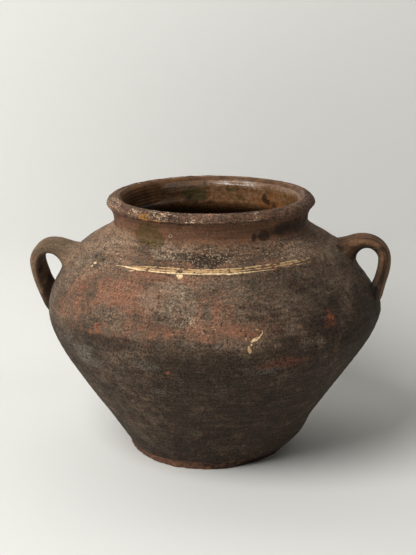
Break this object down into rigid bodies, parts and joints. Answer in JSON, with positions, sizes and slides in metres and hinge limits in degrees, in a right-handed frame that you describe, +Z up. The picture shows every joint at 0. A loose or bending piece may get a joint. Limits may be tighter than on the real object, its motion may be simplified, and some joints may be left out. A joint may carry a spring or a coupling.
{
  "type": "earthenware urn",
  "caption": "Round-bellied earthenware urn with a thick turned-out rim, small strap handles on the shoulder and an amber-glazed inside, for storing or cooking food",
  "frame": {"origin": "middle of the flat underside, which stands on the floor", "axes": "+Z up along the pot's axis, +X through the right handle, +Y away from the viewer of the picture"},
  "size_m": [0.3647, 0.3346, 0.263],
  "materials": {
    "base_clay": "bare, rough",
    "body_clay": "matte, smoke-darkened",
    "collar_clay": "matte, smoke-darkened",
    "rim_clay": "matte, worn",
    "left_handle_clay": "matte",
    "right_handle_clay": "matte",
    "glaze": "glossy amber glaze"
  },
  "bodies": {
    "root": {"base_disc": "base_clay", "body_wall": "body_clay", "neck_collar": "collar_clay", "rim": "rim_clay", "left_handle": "left_handle_clay", "right_handle": "right_handle_clay", "glaze_lining": "glaze"}
  },
  "joints": []
}
